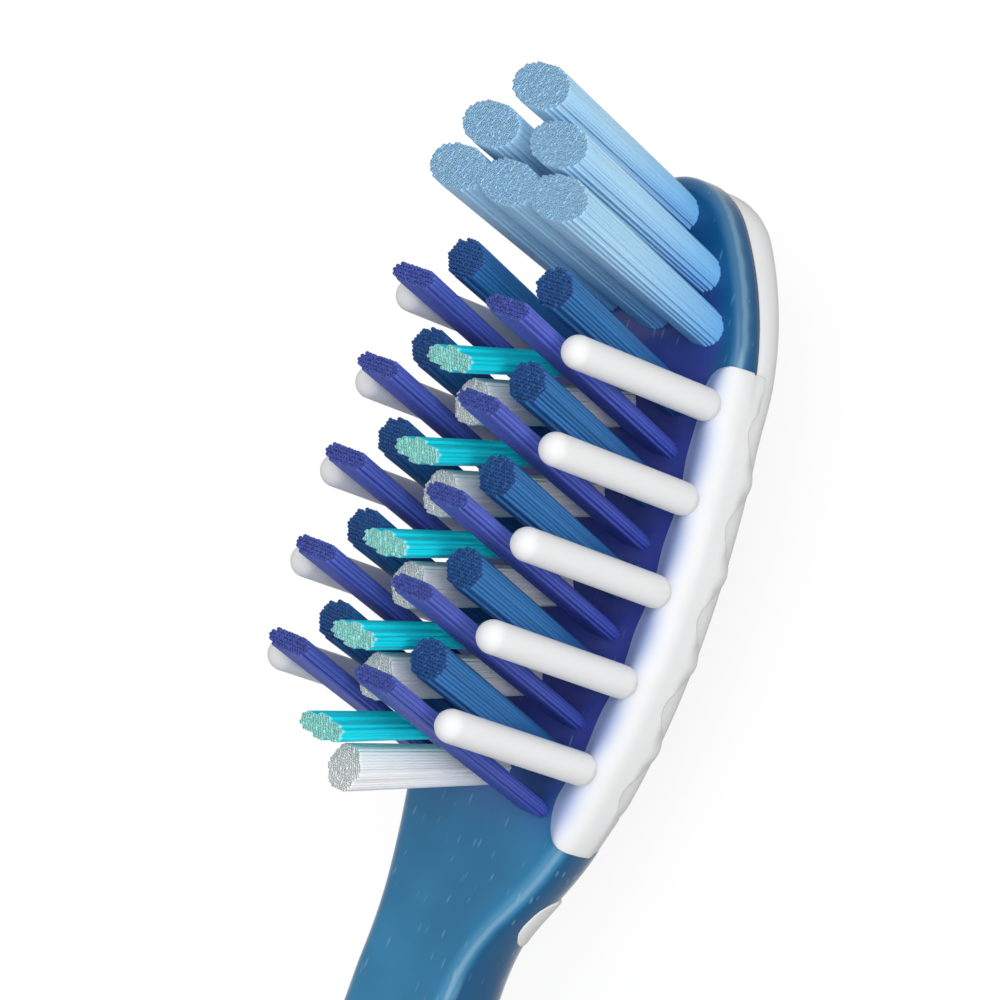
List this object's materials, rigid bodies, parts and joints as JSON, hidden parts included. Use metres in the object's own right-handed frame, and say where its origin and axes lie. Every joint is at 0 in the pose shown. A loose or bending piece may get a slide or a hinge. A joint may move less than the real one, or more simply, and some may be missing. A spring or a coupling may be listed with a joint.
{
  "type": "manual toothbrush",
  "caption": "Manual toothbrush with leaning crossed bristle tufts, a raised power tip, soft gum fingers that bend outward, a tongue cleaner and soft handle grips.",
  "frame": {"origin": "middle of the flat back grip, the face that the brush lies on", "axes": "+X along the brush to the tip of the head, +Y to its left side, +Z the way the bristles stand"},
  "size_m": [0.1922, 0.014, 0.0196],
  "materials": {
    "core_plastic": "clear blue, polished",
    "soft_white": "soft, satin",
    "light_blue_filament": "bristle",
    "purple_filament": "bristle",
    "dark_blue_filament": "bristle",
    "teal_filament": "bristle, mint ends",
    "white_filament": "bristle",
    "anchor_metal": "drawn strip"
  },
  "bodies": {
    "brush": {"back_grip": "soft_white", "brush_core": "core_plastic", "centre_blade_anchors": "anchor_metal", "centre_blade_tuft_1": "teal_filament", "centre_blade_tuft_2": "teal_filament", "centre_blade_tuft_3": "teal_filament", "centre_blade_tuft_4": "teal_filament", "centre_blade_tuft_5": "teal_filament", "centre_round_anchors": "anchor_metal", "centre_round_tuft_1": "white_filament", "centre_round_tuft_2": "white_filament", "centre_round_tuft_3": "white_filament", "centre_round_tuft_4": "white_filament", "centre_round_tuft_5": "white_filament", "left_blade_tuft_1": "purple_filament", "left_blade_tuft_2": "purple_filament", "left_blade_tuft_3": "purple_filament", "left_blade_tuft_4": "purple_filament", "left_blade_tuft_5": "purple_filament", "left_gum_band": "soft_white", "left_oval_tuft_1": "dark_blue_filament", "left_oval_tuft_2": "dark_blue_filament", "left_oval_tuft_3": "dark_blue_filament", "left_oval_tuft_4": "dark_blue_filament", "left_oval_tuft_5": "dark_blue_filament", "outer_blade_anchors": "anchor_metal", "outer_oval_anchors": "anchor_metal", "power_tip_anchors": "anchor_metal", "power_tip_tuft_1": "light_blue_filament", "power_tip_tuft_2": "light_blue_filament", "power_tip_tuft_3": "light_blue_filament", "power_tip_tuft_4": "light_blue_filament", "power_tip_tuft_5": "light_blue_filament", "power_tip_tuft_6": "light_blue_filament", "right_blade_tuft_1": "purple_filament", "right_blade_tuft_2": "purple_filament", "right_blade_tuft_3": "purple_filament", "right_blade_tuft_4": "purple_filament", "right_blade_tuft_5": "purple_filament", "right_gum_band": "soft_white", "right_oval_tuft_1": "dark_blue_filament", "right_oval_tuft_2": "dark_blue_filament", "right_oval_tuft_3": "dark_blue_filament", "right_oval_tuft_4": "dark_blue_filament", "right_oval_tuft_5": "dark_blue_filament", "thumb_grip": "soft_white", "tongue_cleaner": "soft_white"},
    "left_gum_finger_1": {"left_finger_1": "soft_white"},
    "left_gum_finger_2": {"left_finger_2": "soft_white"},
    "left_gum_finger_3": {"left_finger_3": "soft_white"},
    "left_gum_finger_4": {"left_finger_4": "soft_white"},
    "left_gum_finger_5": {"left_finger_5": "soft_white"},
    "right_gum_finger_1": {"right_finger_1": "soft_white"},
    "right_gum_finger_2": {"right_finger_2": "soft_white"},
    "right_gum_finger_3": {"right_finger_3": "soft_white"},
    "right_gum_finger_4": {"right_finger_4": "soft_white"},
    "right_gum_finger_5": {"right_finger_5": "soft_white"}
  },
  "joints": [
    {"name": "left_finger_1_bend", "type": "hinge", "parent": "brush", "child": "left_gum_finger_1", "pos_m": [0.1191, 0.00531, 0.00942], "axis": [-1, 0, 0], "range_deg": [0, 20], "stiffness_Nm_per_rad": 0.00016},
    {"name": "left_finger_2_bend", "type": "hinge", "parent": "brush", "child": "left_gum_finger_2", "pos_m": [0.1151, 0.00594, 0.00942], "axis": [-1, 0, 0], "range_deg": [0, 20], "stiffness_Nm_per_rad": 0.00016},
    {"name": "left_finger_3_bend", "type": "hinge", "parent": "brush", "child": "left_gum_finger_3", "pos_m": [0.1111, 0.00621, 0.00942], "axis": [-1, 0, 0], "range_deg": [0, 20], "stiffness_Nm_per_rad": 0.00016},
    {"name": "left_finger_4_bend", "type": "hinge", "parent": "brush", "child": "left_gum_finger_4", "pos_m": [0.1071, 0.0061, 0.00942], "axis": [-1, 0, 0], "range_deg": [0, 20], "stiffness_Nm_per_rad": 0.00016},
    {"name": "left_finger_5_bend", "type": "hinge", "parent": "brush", "child": "left_gum_finger_5", "pos_m": [0.1031, 0.00552, 0.00942], "axis": [-1, 0, 0], "range_deg": [0, 20], "stiffness_Nm_per_rad": 0.00016},
    {"name": "right_finger_1_bend", "type": "hinge", "parent": "brush", "child": "right_gum_finger_1", "pos_m": [0.1191, -0.00531, 0.00942], "axis": [1, 0, 0], "range_deg": [0, 20], "stiffness_Nm_per_rad": 0.00016},
    {"name": "right_finger_2_bend", "type": "hinge", "parent": "brush", "child": "right_gum_finger_2", "pos_m": [0.1151, -0.00594, 0.00942], "axis": [1, 0, 0], "range_deg": [0, 20], "stiffness_Nm_per_rad": 0.00016},
    {"name": "right_finger_3_bend", "type": "hinge", "parent": "brush", "child": "right_gum_finger_3", "pos_m": [0.1111, -0.00621, 0.00942], "axis": [1, 0, 0], "range_deg": [0, 20], "stiffness_Nm_per_rad": 0.00016},
    {"name": "right_finger_4_bend", "type": "hinge", "parent": "brush", "child": "right_gum_finger_4", "pos_m": [0.1071, -0.0061, 0.00942], "axis": [1, 0, 0], "range_deg": [0, 20], "stiffness_Nm_per_rad": 0.00016},
    {"name": "right_finger_5_bend", "type": "hinge", "parent": "brush", "child": "right_gum_finger_5", "pos_m": [0.1031, -0.00552, 0.00942], "axis": [1, 0, 0], "range_deg": [0, 20], "stiffness_Nm_per_rad": 0.00016}
  ]
}
